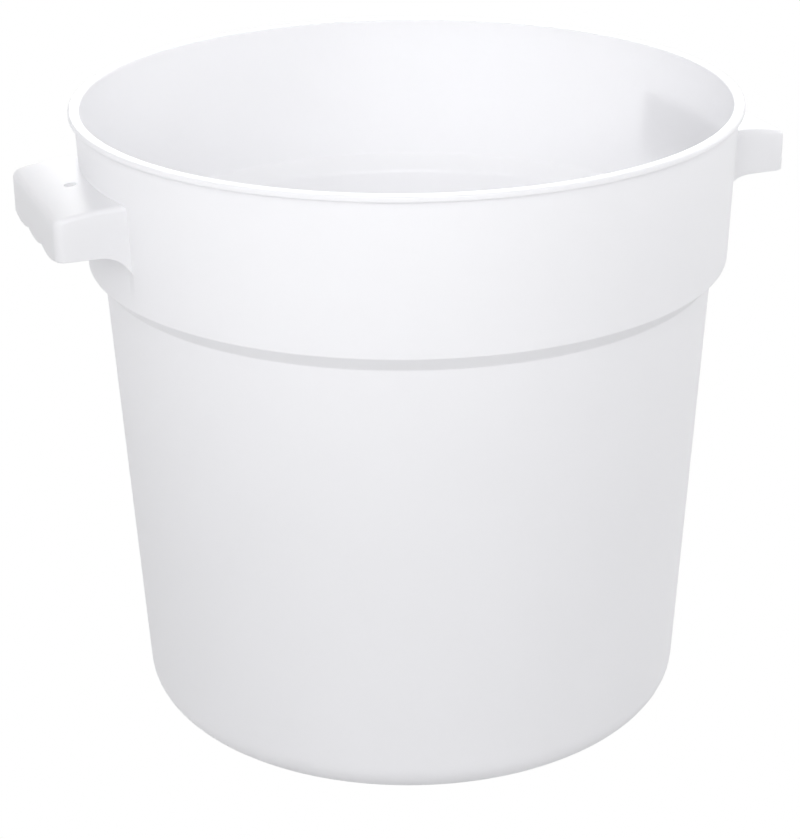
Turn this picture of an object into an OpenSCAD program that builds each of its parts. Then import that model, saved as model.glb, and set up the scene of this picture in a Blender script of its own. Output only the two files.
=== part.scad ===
// Round dough proofing tub in translucent plastic.
// A tapered lower wall rises to a sloping stacking shoulder, a wider band and a lid rim.
// Two carrying handles, open underneath, stand out from the band on the left and right.
// Millimetres, Z up, origin on the table under the centre of the tub, handles along X.

/* [Tub] */
// Height from the table to the top of the rim
tub_h = 312; // [290:1:335]
// Thickness of the moulded walls
wall = 2.8; // [2.2:0.1:3.4]
// How far the lower wall draws in from the shoulder down to the table
lower_taper = 13; // [8:0.5:18]
// Outer radius of the round corner between the lower wall and the table
heel_r = 17; // [12:1:20]

/* [Floor] */
// Thickness of the floor panel
floor_t = 3; // [2.4:0.1:4]
// Height of the floor panel's underside above the table
floor_lift = 1.5; // [1:0.1:3]
// Width of the flat ring that the tub stands on
foot_w = 6; // [4:0.5:9]
// Radius of the foot ring's inner edge
foot_edge_r = 0.8; // [0.3:0.1:0.9]
// Diameter of the shallow moulding gate dimple under the floor
gate_d = 14; // [8:1:20]
// Depth of the gate dimple
gate_depth = 0.6; // [0.3:0.1:1]

/* [Shoulder and band] */
// Height of the shoulder's lower edge above the table
shoulder_z = 228; // [205:1:240]
// Height of the sloping shoulder
shoulder_h = 8; // [6:0.5:12]
// How far the band stands out beyond the lower wall at the shoulder
shoulder_step = 7.5; // [5:0.5:10]
// How far the band draws in from the rim down to the shoulder
band_taper = 2.8; // [1.5:0.1:4]
// Radius of the hollow corner at the foot of the shoulder
shoulder_low_r = 2; // [1:0.5:4]
// Radius that breaks the shoulder's outer edge
shoulder_high_r = 1.2; // [0.6:0.2:3]

/* [Rim] */
// Outer diameter of the rim
rim_d = 327; // [290:1:360]
// How far the rim stands out beyond the band
rim_overhang = 2.7; // [2:0.1:4]
// Thickness of the rim flange
rim_t = 3; // [2.4:0.1:4]
// Radius of the rim's rounded edges
rim_edge_r = 1; // [0.4:0.1:1.1]

/* [Handles] */
// How far each grip stands out beyond the rim
handle_reach = 23.5; // [20:0.5:32]
// Width of each handle across its two ends
handle_w = 89; // [80:1:100]
// Depth of the handle's top below the rim, measured at the band
handle_drop = 24.5; // [18:0.5:32]
// Fall of the handle's crowned top from the band to the grip
top_fall = 3.5; // [2:0.5:6]
// Height of the grip from its lowest edge to the top of the crown
grip_h = 25; // [20:0.5:32]
// Radius between the top and the grip
grip_edge_r = 3.6; // [1:0.2:7]
// Radius of the upright corners at the handle's ends
corner_r = 4.4; // [4:0.2:6]
// Radius between the top and the handle's ends
end_edge_r = 2.4; // [1:0.2:3.4]
// Radius of the curve that carries each end down onto the band
sweep_r = 16; // [8:1:22]

/* [Finger grip] */
// Number of finger lobes along the grip's lower edge
lobes = 3; // [2:1:5]
// Depth of the notches between the lobes
lobe_depth = 2; // [1:0.1:3.5]

/* [Drain hole] */
// Diameter of the drain hole through each handle's top
drain_d = 6; // [4:0.5:8]
// Distance from the band to the middle of the drain hole
drain_out = 8.5; // [7:0.5:12]

/* [Hidden] */
$fn = 180;

plastic = [0.93, 0.94, 0.96, 0.75];
over = 1;
least_r = 0.6;

// Slopes of the three straight runs of the wall, as run over rise
band_z = shoulder_z + shoulder_h;
rim_z = tub_h - rim_t;
rim_r = rim_d / 2;
band_top_r = rim_r - rim_overhang;
band_low_r = band_top_r - band_taper;
wall_top_r = band_low_r - shoulder_step;
lower_slope = lower_taper / shoulder_z;
shoulder_slope = shoulder_step / shoulder_h;
band_slope = band_taper / (rim_z - band_z);
floor_top = floor_lift + floor_t;

// Outer radius of the lower wall and of the band at a height
function lower_r(z) = wall_top_r + lower_slope * (z - shoulder_z);
function band_r(z) = band_low_r + band_slope * (z - band_z);

// Wall thickness measured level, where the wall leans by a slope
function across(slope) = wall * sqrt(1 + slope * slope);

// Height that a corner between two runs moves by on the inner skin
function corner_shift(s1, s2) = (across(s1) - across(s2)) / (s1 - s2);

// Centre of the arc that rounds corner p1 between p0 and p2
function arc_centre(p0, p1, p2, r) =
    let (a = (p0 - p1) / norm(p0 - p1), b = (p2 - p1) / norm(p2 - p1))
    p1 + (a + b) / norm(a + b) * r / sin(acos(a * b) / 2);

// Point where that arc leaves the line from p1 to p0
function arc_end(p0, p1, p2, r) =
    let (a = (p0 - p1) / norm(p0 - p1), b = (p2 - p1) / norm(p2 - p1))
    p1 + a * r / tan(acos(a * b) / 2);

// Outward direction square to the lower wall
lower_out = [1, -lower_slope] / norm([1, -lower_slope]);

// Round heel between the table and the lower wall, outside and inside
heel_in_r = heel_r - wall;
heel_out_c = [lower_r(heel_r) - heel_r * sqrt(1 + pow(lower_slope, 2)), heel_r];
heel_in_z = floor_top + heel_in_r;
heel_in_c = [lower_r(heel_in_z) - heel_r * sqrt(1 + pow(lower_slope, 2)), heel_in_z];
heel_out_end = heel_out_c + heel_r * lower_out;
heel_in_end = heel_in_c + heel_in_r * lower_out;

// Corners of the shoulder on the outer and on the inner skin
out_low = [lower_r(shoulder_z), shoulder_z];
out_high = [band_r(band_z), band_z];
out_top = [band_r(rim_z), rim_z];
in_low_z = shoulder_z + corner_shift(lower_slope, shoulder_slope);
in_high_z = band_z + corner_shift(shoulder_slope, band_slope);
in_low = [lower_r(in_low_z) - across(lower_slope), in_low_z];
in_high = [band_r(in_high_z) - across(band_slope), in_high_z];
in_top = [band_r(rim_z) - across(band_slope), rim_z];
in_low_r = shoulder_low_r + wall;

// Heights at which the named regions of the wall meet
shoulder_from = shoulder_z - 2 * shoulder_low_r;
shoulder_to = band_z + 2 * shoulder_high_r;

// Everything within one skin of the tub, as a half section up to the rim
module skin_half(round_c, round_r, round_end, low, high, top, low_r, high_r) {
    low_c = arc_centre(round_end, low, high, low_r);
    high_c = arc_centre(low, high, top, high_r);
    translate([0, round_c.y - round_r]) square([round_c.x, round_r]);
    translate(round_c) circle(round_r);
    translate(high_c) circle(high_r);
    difference() {
        polygon([
            [0, round_c.y - over],
            [round_c.x, round_c.y - over],
            round_end,
            arc_end(round_end, low, high, low_r),
            low_c,
            arc_end(high, low, round_end, low_r),
            arc_end(low, high, top, high_r),
            arc_end(top, high, low, high_r),
            top,
            [0, top.y]
        ]);
        translate(low_c) circle(low_r);
    }
}

module outer_half() {
    skin_half(heel_out_c, heel_r, heel_out_end, out_low, out_high, out_top,
        shoulder_low_r, shoulder_high_r);
}

module inner_half() {
    skin_half(heel_in_c, heel_in_r, heel_in_end, in_low, in_high, in_top,
        in_low_r, shoulder_high_r);
}

// A ring of the tub's wall outside a radius and between two heights
module wall_ring(r0, z0, z1) {
    color(plastic) rotate_extrude() intersection() {
        difference() {
            outer_half();
            inner_half();
        }
        translate([r0, z0]) square([rim_r - r0, z1 - z0]);
    }
}

module floor_panel() {
    color(plastic) difference() {
        translate([0, 0, floor_lift]) cylinder(r = heel_out_c.x - foot_w, h = floor_t);
        translate([0, 0, floor_lift - over]) cylinder(d = gate_d, h = gate_depth + over);
    }
}

module foot_ring() {
    color(plastic) rotate_extrude() translate([heel_out_c.x - foot_w, 0]) {
        translate([0, foot_edge_r]) square([foot_w, floor_top - foot_edge_r]);
        translate([foot_edge_r, 0]) square([foot_w - foot_edge_r, floor_top]);
        translate([foot_edge_r, foot_edge_r]) circle(foot_edge_r, $fn = 48);
    }
}

module heel() { wall_ring(heel_out_c.x, 0, heel_in_z); }
module lower_wall() { wall_ring(0, heel_in_z, shoulder_from); }
module stacking_shoulder() { wall_ring(0, shoulder_from, shoulder_to); }
module upper_band() { wall_ring(0, shoulder_to, rim_z); }

// A flat flange whose free edges are rounded over
module rim() {
    rim_w = rim_r - in_top.x;
    color(plastic) rotate_extrude() translate([in_top.x, rim_z]) {
        square([rim_w - rim_edge_r, rim_t - rim_edge_r]);
        translate([0, rim_edge_r]) square([rim_w, rim_t - 2 * rim_edge_r]);
        translate([rim_edge_r, 0]) square([rim_w - 2 * rim_edge_r, rim_t]);
        for (p = [[rim_edge_r, rim_t - rim_edge_r], [rim_w - rim_edge_r, rim_t - rim_edge_r],
                  [rim_w - rim_edge_r, rim_edge_r]])
            translate(p) circle(rim_edge_r, $fn = 48);
    }
}

// Places that shape a handle, measured outward along X and upward
grip_u = rim_r + handle_reach;
half_w = handle_w / 2;
top_z = tub_h - handle_drop;
band_u = band_r(top_z);
root_u = band_u - 20;
crown_r = (pow(grip_u - band_u, 2) + pow(top_fall, 2)) / 2 / top_fall;
crown_c = [band_u, top_z - crown_r];
end_v = half_w - corner_r;
grip_low_z = top_z - grip_h;
end_low_z = grip_low_z + lobe_depth;
lobe_w = 2 * end_v / lobes;
lobe_r = (pow(lobe_w / 2, 2) + pow(lobe_depth, 2)) / 2 / lobe_depth;
sweep_u = sqrt(pow(band_r(end_low_z), 2) - pow(half_w, 2)) + 0.9 * sweep_r;

// Radius of an edge on the inner skin of a handle
function within(r) = max(least_r, r - wall);

// Centre of the round edge between the crowned top and the grip
function edge_centre(inset, r) =
    let (u = grip_u - inset - r)
    [u, crown_c.y + sqrt(pow(crown_r - inset - r, 2) - pow(u - band_u, 2))];

edge_c = edge_centre(0, grip_edge_r);

// Side outline of a handle from the band to the grip, on a skin drawn in by an inset
module side_outline(inset, r, low_z) {
    c = edge_centre(inset, r);
    translate([root_u, low_z]) square([grip_u - inset - root_u, c.y - low_z]);
    translate(c) circle(r, $fn = 64);
    intersection() {
        translate(crown_c) circle(crown_r - inset, $fn = 720);
        polygon([
            [root_u, c.y - over],
            [c.x, c.y - over],
            c,
            c + (c - crown_c) * (top_z + over - c.y) / (c.y - crown_c.y),
            [root_u, top_z + over]
        ]);
    }
}

// Plan outline of a handle on a skin drawn in by an inset
module plan_outline(inset, r) {
    u = grip_u - inset;
    v = half_w - inset;
    translate([root_u, -v]) square([u - r - root_u, 2 * v]);
    translate([root_u, r - v]) square([u - root_u, 2 * (v - r)]);
    for (s = [-1, 1])
        translate([u - r, s * (v - r)]) circle(r, $fn = 64);
}

// Stands a side outline up and extrudes it across the handle from v0 to v1
module across_handle(v0, v1) {
    translate([0, v1, 0]) rotate([90, 0, 0]) linear_extrude(v1 - v0) children();
}

// The tub's outer skin, which the handles are trimmed against
module tub_solid() {
    rotate_extrude() outer_half();
}

// The hand space inside a handle, open underneath
module hand_space() {
    low_z = end_low_z - 2 * sweep_r;
    intersection() {
        across_handle(-half_w, half_w) side_outline(wall, within(grip_edge_r), low_z);
        translate([0, 0, low_z - over]) linear_extrude(top_z - low_z + 2 * over)
            plan_outline(wall, within(corner_r));
    }
}

// Crowned top with its drain hole
module handle_top() {
    difference() {
        across_handle(-end_v, end_v) intersection() {
            side_outline(0, grip_edge_r, edge_c.y - wall);
            translate([root_u, edge_c.y - wall]) square([edge_c.x - root_u, top_fall + 2 * wall]);
        }
        hand_space();
        tub_solid();
        translate([band_u + drain_out, 0, edge_c.y - wall])
            cylinder(d = drain_d, h = top_z - edge_c.y + wall + over);
    }
}

// Skirt that the fingers curl round, with its wavy lower edge
module handle_grip() {
    difference() {
        intersection() {
            across_handle(-end_v, end_v) intersection() {
                side_outline(0, grip_edge_r, grip_low_z);
                translate([edge_c.x, grip_low_z]) square([grip_edge_r + over, grip_h]);
            }
            rotate([90, 0, 90]) linear_extrude(grip_u + over) {
                translate([-half_w, end_low_z]) square([handle_w, grip_h]);
                for (i = [0:lobes - 1]) intersection() {
                    translate([(i + 0.5) * lobe_w - end_v, grip_low_z + lobe_r]) circle(lobe_r, $fn = 720);
                    translate([i * lobe_w - end_v, grip_low_z]) square([lobe_w, lobe_depth + over]);
                }
            }
        }
        hand_space();
    }
}

// Round end of a handle, on its +Y side, which sweeps down onto the band
module handle_end() {
    difference() {
        intersection() {
            across_handle(end_v, half_w) {
                side_outline(0, grip_edge_r, end_low_z);
                difference() {
                    translate([root_u, end_low_z - sweep_r])
                        square([sweep_u - root_u, sweep_r + over]);
                    translate([sweep_u, end_low_z - sweep_r]) circle(sweep_r);
                }
            }
            translate([0, 0, end_low_z - 2 * sweep_r]) linear_extrude(grip_h + 3 * sweep_r)
                plan_outline(0, corner_r);
            translate([band_u, 0, crown_c.y]) rotate([-90, 0, 0]) rotate_extrude() {
                square([crown_r - end_edge_r, half_w]);
                square([crown_r, half_w - end_edge_r]);
                translate([crown_r - end_edge_r, half_w - end_edge_r])
                    circle(end_edge_r, $fn = 12);
            }
        }
        hand_space();
        tub_solid();
    }
}

// Places the right handle's piece, and turned half round the left handle's
module right_side() {
    color(plastic) children();
}

module left_side() {
    color(plastic) rotate([0, 0, 180]) children();
}

module other_end() {
    mirror([0, 1, 0]) children();
}

module right_handle_top() { right_side() handle_top(); }
module right_handle_grip() { right_side() handle_grip(); }
module right_handle_back_end() { right_side() handle_end(); }
module right_handle_front_end() { right_side() other_end() handle_end(); }
module left_handle_top() { left_side() handle_top(); }
module left_handle_grip() { left_side() handle_grip(); }
module left_handle_front_end() { left_side() handle_end(); }
module left_handle_back_end() { left_side() other_end() handle_end(); }

floor_panel();
foot_ring();
heel();
lower_wall();
stacking_shoulder();
upper_band();
rim();
left_handle_top();
left_handle_grip();
left_handle_front_end();
left_handle_back_end();
right_handle_top();
right_handle_grip();
right_handle_front_end();
right_handle_back_end();
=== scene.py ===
"""Dough proofing tub: one translucent moulding with two open-bottomed handles, in a soft white studio."""

import logging
import math
from dataclasses import dataclass
from enum import Enum
from typing import NamedTuple

import bmesh
import bpy
from mathutils import Matrix, Vector


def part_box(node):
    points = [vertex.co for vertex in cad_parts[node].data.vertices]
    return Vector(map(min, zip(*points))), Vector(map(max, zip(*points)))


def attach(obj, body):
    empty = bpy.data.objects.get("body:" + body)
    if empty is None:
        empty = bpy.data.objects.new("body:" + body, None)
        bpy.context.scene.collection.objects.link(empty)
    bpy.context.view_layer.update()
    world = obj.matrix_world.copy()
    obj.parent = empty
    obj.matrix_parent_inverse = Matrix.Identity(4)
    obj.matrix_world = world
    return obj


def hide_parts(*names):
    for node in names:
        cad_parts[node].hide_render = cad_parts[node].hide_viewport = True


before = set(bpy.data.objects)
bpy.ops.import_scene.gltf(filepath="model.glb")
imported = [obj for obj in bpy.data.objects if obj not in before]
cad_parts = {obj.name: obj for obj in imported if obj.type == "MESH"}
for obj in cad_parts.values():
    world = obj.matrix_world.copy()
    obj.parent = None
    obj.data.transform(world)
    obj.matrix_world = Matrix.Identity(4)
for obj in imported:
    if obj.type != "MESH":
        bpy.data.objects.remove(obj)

LOG = logging.getLogger("dough_tub")
MM = 0.001
QUARTER = math.pi / 2
BODY = "root"
SLOT = "natural_plastic"
TUB_NODES = ("floor_panel", "foot_ring", "heel", "lower_wall", "stacking_shoulder", "upper_band", "rim")
HANDLE_NODES = ("handle_top", "handle_grip", "handle_front_end", "handle_back_end")

Point = tuple[float, float]
Point3 = tuple[float, float, float]


class Side(Enum):
    """The two sides that carry a handle."""

    LEFT = "left"
    RIGHT = "right"


class Cut(Enum):
    """The ways in which two solids are combined."""

    JOIN = "UNION"
    TAKE_AWAY = "DIFFERENCE"


class Corner(NamedTuple):
    """A corner of a box in millimetres."""

    x: float
    y: float
    z: float


def node_box(node: str) -> tuple[Corner, Corner]:
    """Reads a CAD node's box from the frame.

    Args:
        node: the node's name.

    Returns:
        Its lowest and highest corners, to a tenth of a millimetre.
    """
    low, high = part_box(node)
    return Corner(*(round(c / MM, 1) for c in low)), Corner(*(round(c / MM, 1) for c in high))


@dataclass(frozen=True)
class Finish:
    """Look of a moulded plastic.

    Args:
        colour: linear base colour.
        roughness: mean surface roughness.
        see_through: share of light that passes straight on.
        glow: share of light that is scattered through the wall.
        ior: refractive index.
    """

    colour: Point3
    roughness: float
    see_through: float
    glow: float
    ior: float


@dataclass(frozen=True)
class Grain:
    """Fine unevenness of a moulded skin, with noise scales per metre.

    Args:
        flow_scale: scale of the slow change left by the flow of the melt.
        flow_detail: octaves of that change.
        fine_scale: scale of the fine grain.
        fine_detail: octaves of the fine grain.
        roughness_swing: how far the roughness goes up and down.
        least_tint: the darkest share of the colour.
        bump_strength: strength of the bump.
        bump_height: height of the bump, in metres.
    """

    flow_scale: float = 7.0
    flow_detail: float = 2.0
    fine_scale: float = 420.0
    fine_detail: float = 3.0
    roughness_swing: float = 0.05
    least_tint: float = 0.975
    bump_strength: float = 0.04
    bump_height: float = 0.0004


NATURAL = Finish(colour=(0.935, 0.935, 0.95), roughness=0.36, see_through=0.22, glow=0.25, ior=1.49)


@dataclass
class TubSize:
    """Sizes of the tub in millimetres: the first come from the frame, the rest are as in the CAD model."""

    height: float
    rim_z: float
    rim_r: float
    band_top_r: float
    foot_r: float
    floor_lift: float
    floor_top: float
    wall: float = 2.8
    base_r: float = 137.5
    heel_r: float = 17.0
    shoulder_r: float = 150.5
    shoulder_z: float = 228.0
    band_low_r: float = 158.0
    band_z: float = 236.0
    gate_r: float = 7.0
    gate_depth: float = 0.6

    # Radii of the edges, from the dimple underneath round to the inside.
    gate_corner_r: float = 0.3
    gate_edge_r: float = 0.2
    foot_inner_r: float = 0.5
    foot_outer_r: float = 0.8
    shoulder_low_r: float = 2.0
    shoulder_high_r: float = 1.2
    rim_root_r: float = 0.5
    rim_edge_r: float = 1.0
    mouth_r: float = 3.0
    inner_high_r: float = 1.2
    inner_low_r: float = 4.8

    # How far the inner corners lie from the outer ones, out and up, so that a leaning wall stays even.
    gate_draft: float = 0.4
    level_wall: float = 1.0016
    band_shift: Point = (0.04, 1.0)
    shoulder_shift: Point = (0.06, 1.05)
    base_shift: float = 0.25

    # The core that trims a handle's root starts below the shoulder and leans about as much as the band.
    core_z: float = 200.0
    core_slope: float = 0.04
    turns: int = 288

    @classmethod
    def from_frame(cls) -> "TubSize":
        """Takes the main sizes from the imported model.

        Returns:
            The tub's sizes.
        """
        rim_low, rim_high = node_box("rim")
        floor_low, floor_high = node_box("floor_panel")
        _, band_high = node_box("upper_band")
        return cls(
            height=rim_high.z,
            rim_z=rim_low.z,
            rim_r=rim_high.x,
            band_top_r=band_high.x,
            foot_r=floor_high.x,
            floor_lift=floor_low.z,
            floor_top=floor_high.z,
        )

    def band_r(self, z: float) -> float:
        """Outer radius of the band at a height."""
        rise = (z - self.band_z) / (self.rim_z - self.band_z)
        return self.band_low_r + (self.band_top_r - self.band_low_r) * rise


@dataclass
class HandleSize:
    """Sizes of a handle in millimetres: the first come from the frame, the rest are as in the CAD model."""

    reach: float
    half_w: float
    edge_r: float
    corner_r: float
    top_z: float = 287.5
    fall: float = 3.5
    grip_h: float = 25.0
    end_r: float = 2.4
    lip_r: float = 0.6
    sweep_r: float = 16.0
    sweep_sunk: float = 0.9
    lobes: int = 3
    lobe_depth: float = 2.0
    root_u: float = 141.0

    # The space for the fingers, cut from below.
    space_edge_r: float = 0.9
    space_top_share: float = 0.5
    space_drop: float = 40.0

    # The drain hole and how far its cutter reaches below and above the top.
    drain_r: float = 3.0
    drain_out: float = 8.5
    drain_below: float = 12.0
    drain_above: float = 5.0
    drain_turns: int = 48

    # Steps in each arc of a slice, in each round end, and between the ends.
    crown_steps: int = 12
    edge_steps: int = 10
    lip_steps: int = 6
    sweep_steps: int = 14
    end_steps: int = 14
    slices: int = 160

    @classmethod
    def from_frame(cls) -> "HandleSize":
        """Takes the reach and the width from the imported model, and the radii at which its pieces divide.

        Returns:
            The handle's sizes.
        """
        grip_low, grip_high = node_box(f"{Side.RIGHT.value}_handle_grip")
        end_low, end_high = node_box(f"{Side.RIGHT.value}_handle_back_end")
        return cls(
            reach=grip_high.x,
            half_w=end_high.y,
            edge_r=round(grip_high.x - grip_low.x, 1),
            corner_r=round(end_high.y - end_low.y, 1),
        )

    @property
    def low_z(self) -> float:
        """Height of the handle's lower edge between the lobes."""
        return self.top_z - self.grip_h + self.lobe_depth


def arc(u: float, z: float, r: float, start: float, end: float, steps: int) -> list[Point]:
    """Points along an arc.

    Args:
        u: distance of the centre.
        z: height of the centre.
        r: radius.
        start: angle of the first point in radians, from straight up towards the outside.
        end: angle of the last point.
        steps: number of steps.

    Returns:
        Distance and height of each point, both ends included.
    """
    angles = [start + (end - start) * k / steps for k in range(steps + 1)]
    return [(u + r * math.sin(a), z + r * math.cos(a)) for a in angles]


def fillet_path(corners: list[Point3], step: float = 9.0) -> list[Point]:
    """Rounds the corners of an open path.

    Args:
        corners: x, y and radius of each corner.
        step: largest turn between two points of an arc, in degrees.

    Returns:
        The points of the rounded path.
    """
    points = []
    for i, (x, y, r) in enumerate(corners):
        here = Vector((x, y))
        if r <= 0 or i in (0, len(corners) - 1):
            points.append((x, y))
            continue
        a = (Vector(corners[i - 1][:2]) - here).normalized()
        b = (Vector(corners[i + 1][:2]) - here).normalized()
        half = a.angle(b) / 2
        centre = here + (a + b).normalized() * r / math.sin(half)
        start = here + a * r / math.tan(half) - centre
        end = here + b * r / math.tan(half) - centre
        turn = start.angle_signed(end)
        count = max(2, math.ceil(abs(math.degrees(turn)) / step))
        for k in range(count + 1):
            t = -turn * k / count
            c, s = math.cos(t), math.sin(t)
            points.append((centre.x + start.x * c - start.y * s, centre.y + start.x * s + start.y * c))
    return points


def make_object(name: str, verts: list[Point3], faces: list[tuple[int, ...]]) -> bpy.types.Object:
    """Makes an object at the origin from points in millimetres.

    Args:
        name: the object's name.
        verts: points in millimetres.
        faces: rows of point indices.

    Returns:
        The new object, with its faces outward.
    """
    mesh = bpy.data.meshes.new(name)
    mesh.from_pydata([tuple(c * MM for c in v) for v in verts], [], faces)
    bm = bmesh.new()
    bm.from_mesh(mesh)
    bmesh.ops.recalc_face_normals(bm, faces=bm.faces)
    bm.to_mesh(mesh)
    bm.free()
    obj = bpy.data.objects.new(name, mesh)
    bpy.context.scene.collection.objects.link(obj)
    return obj


def revolve(name: str, section: list[Point], turns: int) -> bpy.types.Object:
    """Turns a section that starts and ends on the axis about Z.

    Args:
        name: the object's name.
        section: radius and height of each point, the first and last on the axis.
        turns: number of steps round the axis.

    Returns:
        The turned solid.
    """
    verts = [(0.0, 0.0, section[0][1]), (0.0, 0.0, section[-1][1])]
    rings = section[1:-1]
    for r, z in rings:
        for k in range(turns):
            a = 2 * math.pi * k / turns
            verts.append((r * math.cos(a), r * math.sin(a), z))
    faces = []
    last = 2 + (len(rings) - 1) * turns
    for k in range(turns):
        n = (k + 1) % turns
        faces.append((0, 2 + n, 2 + k))
        faces.append((1, last + k, last + n))
        for i in range(len(rings) - 1):
            base = 2 + i * turns
            faces.append((base + k, base + n, base + turns + n, base + turns + k))
    return make_object(name, verts, faces)


def loft(name: str, outlines: list[list[Point3]]) -> bpy.types.Object:
    """Joins closed outlines of equal length into a capped solid.

    Args:
        name: the object's name.
        outlines: the outlines in order, in millimetres.

    Returns:
        The lofted solid.
    """
    count = len(outlines[0])
    verts = [p for outline in outlines for p in outline]
    faces = [tuple(range(count)), tuple(range(len(verts) - count, len(verts)))]
    for i in range(len(outlines) - 1):
        for k in range(count):
            n = (k + 1) % count
            faces.append((i * count + k, i * count + n, (i + 1) * count + n, (i + 1) * count + k))
    return make_object(name, verts, faces)


def combine(obj: bpy.types.Object, other: bpy.types.Object, cut: Cut) -> None:
    """Combines an object with another solid and removes that solid.

    Args:
        obj: the solid that is kept.
        other: the solid that is added or taken away.
        cut: how they are combined.
    """
    mod = obj.modifiers.new("cut", "BOOLEAN")
    mod.operation, mod.solver, mod.object = cut.value, "EXACT", other
    depsgraph = bpy.context.evaluated_depsgraph_get()
    mesh = bpy.data.meshes.new_from_object(obj.evaluated_get(depsgraph))
    obj.modifiers.clear()
    old = obj.data
    obj.data = mesh
    mesh.name = old.name
    bpy.data.meshes.remove(old)
    bpy.data.objects.remove(other)


def smooth(obj: bpy.types.Object, sharp: float = 32.0) -> None:
    """Shades an object smooth with its real edges kept sharp.

    Args:
        obj: the object.
        sharp: angle above which an edge stays sharp, in degrees.
    """
    obj.data.shade_smooth()
    obj.data.set_sharp_from_angle(angle=math.radians(sharp))


class Tub:
    """The round shell from the foot ring to the rim."""

    def __init__(self, size: TubSize) -> None:
        """Keeps the sizes.

        Args:
            size: the tub's sizes.
        """
        self.size = size

    def outer_path(self) -> list[Point3]:
        """Outer corners of the wall, from the axis underneath up to the rim.

        Returns:
            Radius, height and edge radius of each corner.
        """
        s = self.size
        return [
            (0, s.floor_lift + s.gate_depth, 0),
            (s.gate_r - s.gate_draft, s.floor_lift + s.gate_depth, s.gate_corner_r),
            (s.gate_r, s.floor_lift, s.gate_edge_r),
            (s.foot_r, s.floor_lift, s.foot_inner_r),
            (s.foot_r, 0, s.foot_outer_r),
            (s.base_r, 0, s.heel_r),
            (s.shoulder_r, s.shoulder_z, s.shoulder_low_r),
            (s.band_low_r, s.band_z, s.shoulder_high_r),
            (s.band_top_r, s.rim_z, s.rim_root_r),
            (s.rim_r, s.rim_z, s.rim_edge_r),
            (s.rim_r, s.height, s.rim_edge_r),
        ]

    def inner_path(self) -> list[Point3]:
        """Inner corners of the wall, from the rim down to the axis on the floor.

        Returns:
            Radius, height and edge radius of each corner.
        """
        s = self.size
        wall = s.wall * s.level_wall
        band_out, band_up = s.band_shift
        shoulder_out, shoulder_up = s.shoulder_shift
        return [
            (s.band_top_r - s.wall, s.height, s.rim_edge_r),
            (s.band_top_r - s.wall, s.rim_z, s.mouth_r),
            (s.band_low_r - s.wall + band_out, s.band_z + band_up, s.inner_high_r),
            (s.shoulder_r - wall + shoulder_out, s.shoulder_z + shoulder_up, s.inner_low_r),
            (s.base_r - wall + s.base_shift, s.floor_top, s.heel_r - s.wall),
            (0, s.floor_top, 0),
        ]

    def build(self) -> bpy.types.Object:
        """Builds the shell.

        Returns:
            The shell as one solid.
        """
        section = fillet_path(self.outer_path() + self.inner_path())
        shell = revolve("tub_moulding", section, self.size.turns)
        LOG.info("shell with %d faces", len(shell.data.polygons))
        return shell

    def core(self, inset: float) -> bpy.types.Object:
        """A solid that fills the tub up to a skin inside its outer face.

        Args:
            inset: depth of that skin below the outer face.

        Returns:
            The solid, which trims a handle's root.
        """
        s = self.size
        low_r = s.band_low_r - inset - (s.band_z - s.core_z) * s.core_slope
        section = [(0, s.core_z), (low_r, s.core_z), (s.band_top_r - inset, s.rim_z), (0, s.rim_z)]
        return revolve("core", section, s.turns)


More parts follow.
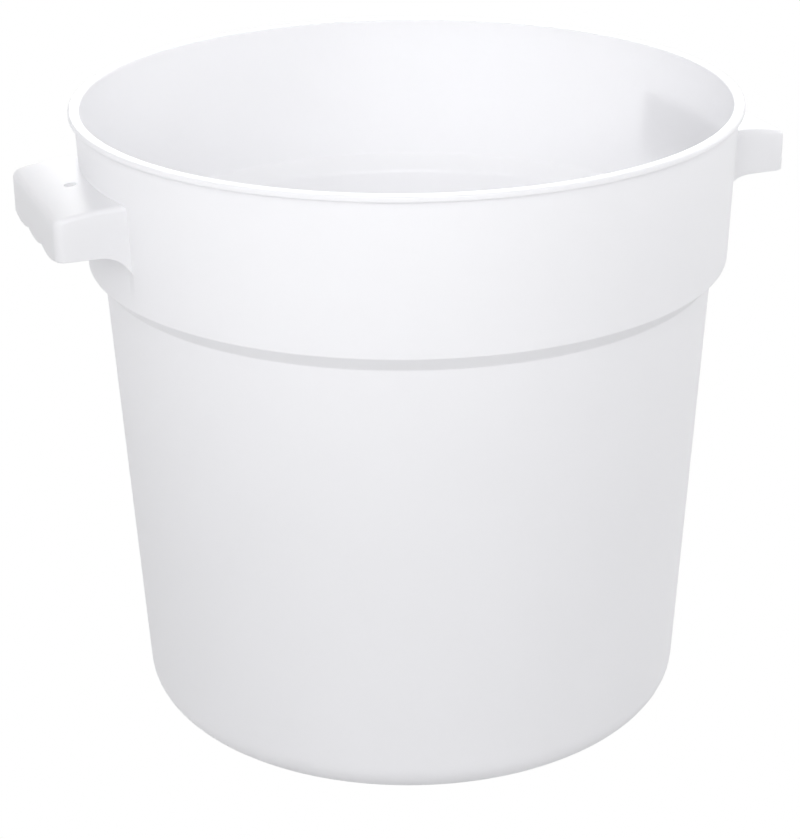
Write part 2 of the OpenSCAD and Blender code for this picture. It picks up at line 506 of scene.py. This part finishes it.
class Handle:
    """One carrying handle: a crowned top, a grip with lobes and two ends, open underneath."""

    def __init__(self, size: HandleSize, tub: TubSize) -> None:
        """Works out the crown of the top and the sweep of the ends.

        Args:
            size: the handle's sizes.
            tub: the tub's sizes.
        """
        self.size = size
        self.band_u = tub.band_r(size.top_z)
        reach = size.reach - self.band_u
        self.crown_r = (reach**2 + size.fall**2) / 2 / size.fall
        self.crown_z = size.top_z - self.crown_r
        band_at_end = math.sqrt(tub.band_r(size.low_z) ** 2 - size.half_w**2)
        self.sweep_u = band_at_end + size.sweep_sunk * size.sweep_r

    def outline(self, pull_u: float, pull_z: float, low_z: float, edge_r: float, sweep: bool) -> list[Point]:
        """Side outline of a slice, drawn in from the full size.

        Args:
            pull_u: how far the grip is drawn in.
            pull_z: how far the top is drawn down.
            low_z: height of the grip's lower edge.
            edge_r: radius between the top and the grip.
            sweep: whether the lower edge sweeps down to the band.

        Returns:
            Distance and height of each point.
        """
        s = self.size
        face = s.reach - pull_u
        crown = self.crown_r - pull_z
        edge_u = face - edge_r
        edge_z = self.crown_z + math.sqrt((crown - edge_r) ** 2 - (edge_u - self.band_u) ** 2)
        lean = math.atan2(edge_u - self.band_u, edge_z - self.crown_z)
        points = [(s.root_u, self.crown_z + crown)]
        points += arc(self.band_u, self.crown_z, crown, 0.0, lean, s.crown_steps)
        points += arc(edge_u, edge_z, edge_r, lean, QUARTER, s.edge_steps)[1:]
        points += arc(face - s.lip_r, low_z + s.lip_r, s.lip_r, QUARTER, 2 * QUARTER, s.lip_steps)
        if not sweep:
            return points + [(s.root_u, low_z)]
        points += arc(self.sweep_u, s.low_z - s.sweep_r, s.sweep_r, 0.0, -QUARTER, s.sweep_steps)
        return points + [(s.root_u, s.low_z - s.sweep_r)]

    def lobe_drop(self, v: float) -> float:
        """How far the grip's lower edge hangs below the level between the lobes.

        Args:
            v: distance across the handle from its middle.

        Returns:
            The drop in millimetres.
        """
        s = self.size
        end_v = s.half_w - s.corner_r
        if abs(v) >= end_v:
            return 0.0
        width = 2 * end_v / s.lobes
        off = (v + end_v) % width - width / 2
        radius = ((width / 2) ** 2 + s.lobe_depth**2) / 2 / s.lobe_depth
        return s.lobe_depth - radius + math.sqrt(radius**2 - off**2)

    def stations(self, half: float, round_r: float) -> list[float]:
        """Places of the slices across the handle, closer together at its round ends.

        Args:
            half: half the width.
            round_r: radius of the round ends.

        Returns:
            The places, from one end to the other.
        """
        steps, count = self.size.end_steps, self.size.slices
        ends = [half - round_r * (1 - math.cos(QUARTER * k / steps)) for k in range(steps)]
        inner = half - round_r
        middle = [inner - 2 * inner * k / count for k in range(count + 1)]
        return ends + middle + [-v for v in reversed(ends)]

    @staticmethod
    def drawn_in(radius: float, depth: float) -> float:
        """How far a round edge is drawn in at a depth from its outermost point.

        Args:
            radius: the edge's radius.
            depth: distance from the outermost point.

        Returns:
            The distance that the surface lies inside its full size.
        """
        return 0.0 if depth >= radius else radius - math.sqrt(radius**2 - (radius - depth) ** 2)

    def body(self) -> bpy.types.Object:
        """The handle's outer form as a full block.

        Returns:
            The block.
        """
        s = self.size
        outlines = []
        for v in self.stations(s.half_w, s.corner_r):
            depth = s.half_w - abs(v)
            pull_u, pull_z = self.drawn_in(s.corner_r, depth), self.drawn_in(s.end_r, depth)
            low_z = s.low_z - self.lobe_drop(v)
            points = self.outline(pull_u, pull_z, low_z, s.edge_r, sweep=True)
            outlines.append([(u, v, z) for u, z in points])
        return loft("handle", outlines)

    def hand_space(self, wall: float) -> bpy.types.Object:
        """The space inside the handle, which is open below.

        Args:
            wall: the wall's thickness.

        Returns:
            The space as a solid.
        """
        s = self.size
        half, corner = s.half_w - wall, s.corner_r - wall
        outlines = []
        for v in self.stations(half, corner):
            pull = self.drawn_in(corner, half - abs(v))
            pull_u, pull_z = wall + pull, wall + pull * s.space_top_share
            points = self.outline(pull_u, pull_z, s.low_z - s.space_drop, s.space_edge_r, sweep=False)
            outlines.append([(u, v, z) for u, z in points])
        return loft("space", outlines)

    def drain(self) -> bpy.types.Object:
        """The drain hole's cutter.

        Returns:
            The cutter.
        """
        s = self.size
        low, high = s.top_z - s.drain_below, s.top_z + s.drain_above
        section = [(0, low), (s.drain_r, low), (s.drain_r, high), (0, high)]
        cutter = revolve("drain", section, s.drain_turns)
        cutter.data.transform(Matrix.Translation(((self.band_u + s.drain_out) * MM, 0, 0)))
        return cutter

    def build(self, tub: Tub) -> bpy.types.Object:
        """Builds the handle of the right side.

        Args:
            tub: the tub that the handle stands on.

        Returns:
            The handle, rooted halfway into the tub's wall.
        """
        handle = self.body()
        for solid in (self.hand_space(tub.size.wall), self.drain(), tub.core(tub.size.wall / 2)):
            combine(handle, solid, Cut.TAKE_AWAY)
        LOG.info("handle with %d faces", len(handle.data.polygons))
        return handle


def add_node(
    tree: bpy.types.NodeTree, kind: str, inputs: dict[str | int, object] | None = None, **settings: object
) -> bpy.types.Node:
    """Adds a node to a tree.

    Args:
        tree: the node tree.
        kind: the node's type.
        inputs: the values of its inputs, by name or number.
        settings: the node's own settings, by name.

    Returns:
        The new node.
    """
    node = tree.nodes.new(kind)
    for name, value in settings.items():
        setattr(node, name, value)
    for key, value in (inputs or {}).items():
        node.inputs[key].default_value = value
    return node


class RingNodes:
    """Geometry Nodes that set copies of a solid evenly round the tub."""

    def __init__(self) -> None:
        """Builds the node group."""
        tree = bpy.data.node_groups.new("evenly_round", "GeometryNodeTree")
        face, link = tree.interface, tree.links.new
        face.new_socket("Geometry", in_out="INPUT", socket_type="NodeSocketGeometry")
        self.count = face.new_socket("Count", in_out="INPUT", socket_type="NodeSocketInt").identifier
        self.paint = face.new_socket("Material", in_out="INPUT", socket_type="NodeSocketMaterial").identifier
        face.new_socket("Geometry", in_out="OUTPUT", socket_type="NodeSocketGeometry")
        source, sink = add_node(tree, "NodeGroupInput"), add_node(tree, "NodeGroupOutput")
        line = add_node(tree, "GeometryNodeMeshLine", {"Offset": (0, 0, 0)})
        index = add_node(tree, "GeometryNodeInputIndex")
        part = add_node(tree, "ShaderNodeMath", operation="DIVIDE")
        turn = add_node(tree, "ShaderNodeMath", {1: 4 * QUARTER}, operation="MULTIPLY")
        rotation = add_node(tree, "ShaderNodeCombineXYZ")
        copies = add_node(tree, "GeometryNodeInstanceOnPoints")
        real = add_node(tree, "GeometryNodeRealizeInstances")
        paint = add_node(tree, "GeometryNodeSetMaterial")
        link(source.outputs["Count"], line.inputs["Count"])
        link(index.outputs[0], part.inputs[0])
        link(source.outputs["Count"], part.inputs[1])
        link(part.outputs[0], turn.inputs[0])
        link(turn.outputs[0], rotation.inputs["Z"])
        link(line.outputs["Mesh"], copies.inputs["Points"])
        link(source.outputs["Geometry"], copies.inputs["Instance"])
        link(rotation.outputs[0], copies.inputs["Rotation"])
        link(copies.outputs[0], real.inputs[0])
        link(real.outputs[0], paint.inputs["Geometry"])
        link(source.outputs["Material"], paint.inputs["Material"])
        link(paint.outputs[0], sink.inputs[0])
        self.tree = tree

    def apply(self, obj: bpy.types.Object, count: int, material: bpy.types.Material) -> None:
        """Replaces an object's mesh by its copies.

        Args:
            obj: the object to copy round.
            count: number of copies.
            material: the copies' material.
        """
        mod = obj.modifiers.new("round", "NODES")
        mod.node_group = self.tree
        mod[self.count] = count
        mod[self.paint] = material
        depsgraph = bpy.context.evaluated_depsgraph_get()
        mesh = bpy.data.meshes.new_from_object(obj.evaluated_get(depsgraph))
        obj.modifiers.clear()
        obj.data = mesh


class Plastic:
    """Natural polypropylene: satin, milky and faintly see-through."""

    def __init__(self, finish: Finish, grain: Grain) -> None:
        """Keeps the finish and the grain.

        Args:
            finish: the look to build.
            grain: the unevenness of its skin.
        """
        self.finish = finish
        self.grain = grain

    def grain_group(self) -> bpy.types.NodeTree:
        """Shared fine grain of the moulded skin.

        Returns:
            A shader group that gives a roughness, a tint and a normal.
        """
        g = self.grain
        tree = bpy.data.node_groups.new("moulded_grain", "ShaderNodeTree")
        face, link = tree.interface, tree.links.new
        face.new_socket("Roughness", in_out="INPUT", socket_type="NodeSocketFloat")
        face.new_socket("Roughness", in_out="OUTPUT", socket_type="NodeSocketFloat")
        face.new_socket("Tint", in_out="OUTPUT", socket_type="NodeSocketFloat")
        face.new_socket("Normal", in_out="OUTPUT", socket_type="NodeSocketVector")
        source, sink = add_node(tree, "NodeGroupInput"), add_node(tree, "NodeGroupOutput")
        coord = add_node(tree, "ShaderNodeTexCoord")
        flow = add_node(tree, "ShaderNodeTexNoise", {"Scale": g.flow_scale, "Detail": g.flow_detail})
        fine = add_node(tree, "ShaderNodeTexNoise", {"Scale": g.fine_scale, "Detail": g.fine_detail})
        swing = {"To Min": -g.roughness_swing, "To Max": g.roughness_swing}
        rough = add_node(tree, "ShaderNodeMapRange", swing)
        tint = add_node(tree, "ShaderNodeMapRange", {"To Min": g.least_tint, "To Max": 1.0})
        total = add_node(tree, "ShaderNodeMath")
        bump = add_node(tree, "ShaderNodeBump", {"Strength": g.bump_strength, "Distance": g.bump_height})
        for noise in (flow, fine):
            link(coord.outputs["Object"], noise.inputs["Vector"])
        link(flow.outputs["Fac"], rough.inputs["Value"])
        link(flow.outputs["Fac"], tint.inputs["Value"])
        link(source.outputs["Roughness"], total.inputs[0])
        link(rough.outputs["Result"], total.inputs[1])
        link(fine.outputs["Fac"], bump.inputs["Height"])
        link(total.outputs[0], sink.inputs["Roughness"])
        link(tint.outputs["Result"], sink.inputs["Tint"])
        link(bump.outputs["Normal"], sink.inputs["Normal"])
        return tree

    def build(self) -> bpy.types.Material:
        """Builds the material.

        Returns:
            The material.
        """
        f = self.finish
        material = bpy.data.materials.new(SLOT)
        material.use_nodes = True
        tree = material.node_tree
        link = tree.links.new
        shader = tree.nodes["Principled BSDF"]
        shader.inputs["IOR"].default_value = f.ior
        shader.inputs["Transmission Weight"].default_value = f.see_through
        grain = add_node(tree, "ShaderNodeGroup", node_tree=self.grain_group())
        grain.inputs["Roughness"].default_value = f.roughness
        colour = add_node(tree, "ShaderNodeMix", data_type="RGBA", blend_type="MULTIPLY")
        colour.inputs["Factor"].default_value = 1.0
        colour.inputs["A"].default_value = (*f.colour, 1.0)
        glow = add_node(tree, "ShaderNodeBsdfTranslucent")
        mix = add_node(tree, "ShaderNodeMixShader", {0: f.glow})
        link(grain.outputs["Tint"], colour.inputs["B"])
        link(colour.outputs["Result"], shader.inputs["Base Color"])
        link(colour.outputs["Result"], glow.inputs["Color"])
        link(grain.outputs["Roughness"], shader.inputs["Roughness"])
        link(grain.outputs["Normal"], shader.inputs["Normal"])
        link(shader.outputs[0], mix.inputs[1])
        link(glow.outputs[0], mix.inputs[2])
        link(mix.outputs[0], tree.nodes["Material Output"].inputs["Surface"])
        return material


@dataclass(frozen=True)
class Panel:
    """A square soft light that faces the tub.

    Args:
        place: where it hangs, in metres.
        width: length of its side, in metres.
        power: its power, in watts.
    """

    place: Point3
    width: float
    power: float


@dataclass(frozen=True)
class StudioSize:
    """Camera, floor and lights, in metres and degrees.

    Args:
        turn: how far round to the left of the front the camera stands.
        tilt: how far the camera looks down.
        roll: how far the camera leans.
        distance: from the camera to its aim.
        aim: point that it looks at, across and up.
        lens: focal length in millimetres.
        sensor: width of the sensor in millimetres.
        floor: length of the floor's side.
        floor_greys: darkest and lightest grey of the floor.
        floor_roughness: roughness of the floor.
        floor_mottle: scale of the floor's slow change of grey.
        sky_low: grey of the sky below the level of sky_bottom.
        sky_middle: grey of the brightest belt of the sky.
        sky_high: grey of the sky straight overhead.
        sky_bottom: height of a direction below which the sky is darkest.
        sky_middle_at: place of the brightest belt, from sky_bottom at 0 to straight up at 1.
        lit_height: height that the panels face.
        front: the panel in front.
        left: the panel on the left.
        right: the panel on the right.
        back: the panel behind.
    """

    turn: float = 21.0
    tilt: float = 23.046
    roll: float = -0.6264
    distance: float = 1.18647
    aim: Point = (-0.004754, 0.14061)
    lens: float = 98.79
    sensor: float = 36.0
    floor: float = 6.0
    floor_greys: tuple[float, float] = (0.43, 0.47)
    floor_roughness: float = 0.8
    floor_mottle: float = 3.0
    sky_low: float = 0.03
    sky_middle: float = 1.12
    sky_high: float = 0.05
    sky_bottom: float = -0.5
    sky_middle_at: float = 0.8
    lit_height: float = 0.16
    front: Panel = Panel((-0.9, -2.4, 1.4), 1.2, 36.5)
    left: Panel = Panel((-2.0, -0.4, 1.0), 1.2, 4.0)
    right: Panel = Panel((2.0, 0.4, 1.0), 1.2, 15.0)
    back: Panel = Panel((0.85, 2.2, 1.0), 1.6, 25.0)


class Studio:
    """Pale floor, even light and the camera."""

    def __init__(self, size: StudioSize) -> None:
        """Keeps the sizes.

        Args:
            size: the studio's sizes.
        """
        self.size = size

    @staticmethod
    def direct_view(tree: bpy.types.NodeTree) -> bpy.types.NodeSocket:
        """Tells the rays that see the white background from those that light the object.

        Args:
            tree: the node tree that needs the answer.

        Returns:
            A socket that is 1 for camera, glossy and transmission rays and 0 for others.
        """
        path = add_node(tree, "ShaderNodeLightPath")
        result = path.outputs["Is Camera Ray"]
        for name in ("Is Glossy Ray", "Is Transmission Ray"):
            either = add_node(tree, "ShaderNodeMath", operation="MAXIMUM")
            tree.links.new(result, either.inputs[0])
            tree.links.new(path.outputs[name], either.inputs[1])
            result = either.outputs[0]
        return result

    def sky(self) -> None:
        """Makes the world: bright round the sides, dim above and below, and white where it is seen."""
        s = self.size
        world = bpy.data.worlds.new("studio")
        bpy.context.scene.world = world
        world.use_nodes = True
        tree = world.node_tree
        link = tree.links.new
        room = tree.nodes["Background"]
        coord, split = add_node(tree, "ShaderNodeTexCoord"), add_node(tree, "ShaderNodeSeparateXYZ")
        rise = add_node(tree, "ShaderNodeMapRange", {"From Min": s.sky_bottom, "From Max": 1.0})
        shade = add_node(tree, "ShaderNodeValToRGB")
        low, high = shade.color_ramp.elements
        low.color = (s.sky_low, s.sky_low, s.sky_low, 1.0)
        high.color = (s.sky_high, s.sky_high, s.sky_high, 1.0)
        middle = shade.color_ramp.elements.new(s.sky_middle_at)
        middle.color = (s.sky_middle, s.sky_middle, s.sky_middle, 1.0)
        seen = add_node(tree, "ShaderNodeBackground", {"Color": (1.0, 1.0, 1.0, 1.0)})
        mix = add_node(tree, "ShaderNodeMixShader")
        link(coord.outputs["Generated"], split.inputs[0])
        link(split.outputs["Z"], rise.inputs["Value"])
        link(rise.outputs["Result"], shade.inputs["Fac"])
        link(shade.outputs["Color"], room.inputs["Color"])
        link(self.direct_view(tree), mix.inputs[0])
        link(room.outputs[0], mix.inputs[1])
        link(seen.outputs[0], mix.inputs[2])
        link(mix.outputs[0], tree.nodes["World Output"].inputs["Surface"])

    def lamps(self) -> None:
        """Hangs the soft panels round the tub."""
        s = self.size
        for soft in (s.front, s.left, s.right, s.back):
            data = bpy.data.lights.new("panel", "AREA")
            data.shape, data.size, data.energy = "SQUARE", soft.width, soft.power
            panel = bpy.data.objects.new("panel", data)
            panel.location = soft.place
            aim = Vector((0, 0, s.lit_height)) - Vector(soft.place)
            panel.rotation_euler = aim.to_track_quat("-Z", "Y").to_euler()
            bpy.context.scene.collection.objects.link(panel)

    def floor(self) -> None:
        """Makes the floor, which is pale grey to the light and white where it is seen."""
        s = self.size
        half = s.floor / 2 / MM
        corners = [(-half, -half, 0.0), (half, -half, 0.0), (half, half, 0.0), (-half, half, 0.0)]
        floor = make_object("floor", corners, [(0, 1, 2, 3)])
        material = bpy.data.materials.new("pale_floor")
        material.use_nodes = True
        tree = material.node_tree
        link = tree.links.new
        shader = tree.nodes["Principled BSDF"]
        shader.inputs["Roughness"].default_value = s.floor_roughness
        noise = add_node(tree, "ShaderNodeTexNoise", {"Scale": s.floor_mottle})
        dark, light = s.floor_greys
        tint = add_node(tree, "ShaderNodeMapRange", {"To Min": dark, "To Max": light})
        seen, mix = add_node(tree, "ShaderNodeEmission"), add_node(tree, "ShaderNodeMixShader")
        link(noise.outputs["Fac"], tint.inputs["Value"])
        link(tint.outputs["Result"], shader.inputs["Base Color"])
        link(self.direct_view(tree), mix.inputs[0])
        link(shader.outputs[0], mix.inputs[1])
        link(seen.outputs[0], mix.inputs[2])
        link(mix.outputs[0], tree.nodes["Material Output"].inputs["Surface"])
        floor.data.materials.append(material)

    def camera(self) -> None:
        """Sets the camera to the photo's view."""
        s = self.size
        tilt, roll = math.radians(s.tilt), math.radians(s.roll)
        back = Vector((0, -math.cos(tilt), math.sin(tilt)))
        level, rise = Vector((1, 0, 0)), Vector((0, math.sin(tilt), math.cos(tilt)))
        right = level * math.cos(roll) + rise * math.sin(roll)
        up = rise * math.cos(roll) - level * math.sin(roll)
        eye = Vector((s.aim[0], 0, s.aim[1])) + back * s.distance
        pose = Matrix((right, up, back)).transposed().to_4x4()
        pose.translation = eye
        data = bpy.data.cameras.new("camera")
        data.lens, data.sensor_width = s.lens, s.sensor
        camera = bpy.data.objects.new("camera", data)
        camera.matrix_world = Matrix.Rotation(math.radians(-s.turn), 4, "Z") @ pose
        bpy.context.scene.collection.objects.link(camera)
        bpy.context.scene.camera = camera

    def build(self) -> None:
        """Builds the lights, the floor and the camera."""
        self.sky()
        self.lamps()
        self.floor()
        self.camera()
        bpy.context.scene.view_settings.view_transform = "Standard"
        LOG.info("studio ready")


def build_moulding() -> bpy.types.Object:
    """Builds the tub with its two handles as one moulding.

    Returns:
        The dressed moulding.
    """
    plastic = Plastic(NATURAL, Grain()).build()
    tub = Tub(TubSize.from_frame())
    moulding = tub.build()
    moulding.data.materials.append(plastic)
    handles = Handle(HandleSize.from_frame(), tub.size).build(tub)
    RingNodes().apply(handles, len(Side), plastic)
    combine(moulding, handles, Cut.JOIN)
    smooth(moulding)
    LOG.info("%s with %d faces", moulding.name, len(moulding.data.polygons))
    return moulding


def main() -> None:
    """Builds the tub, its handles and the studio in order."""
    logging.basicConfig(level=logging.INFO)
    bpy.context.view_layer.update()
    moulding = build_moulding()
    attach(moulding, BODY)
    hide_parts(*TUB_NODES, *(f"{side.value}_{node}" for side in Side for node in HANDLE_NODES))
    Studio(StudioSize()).build()


if __name__ == "__main__":
    main()
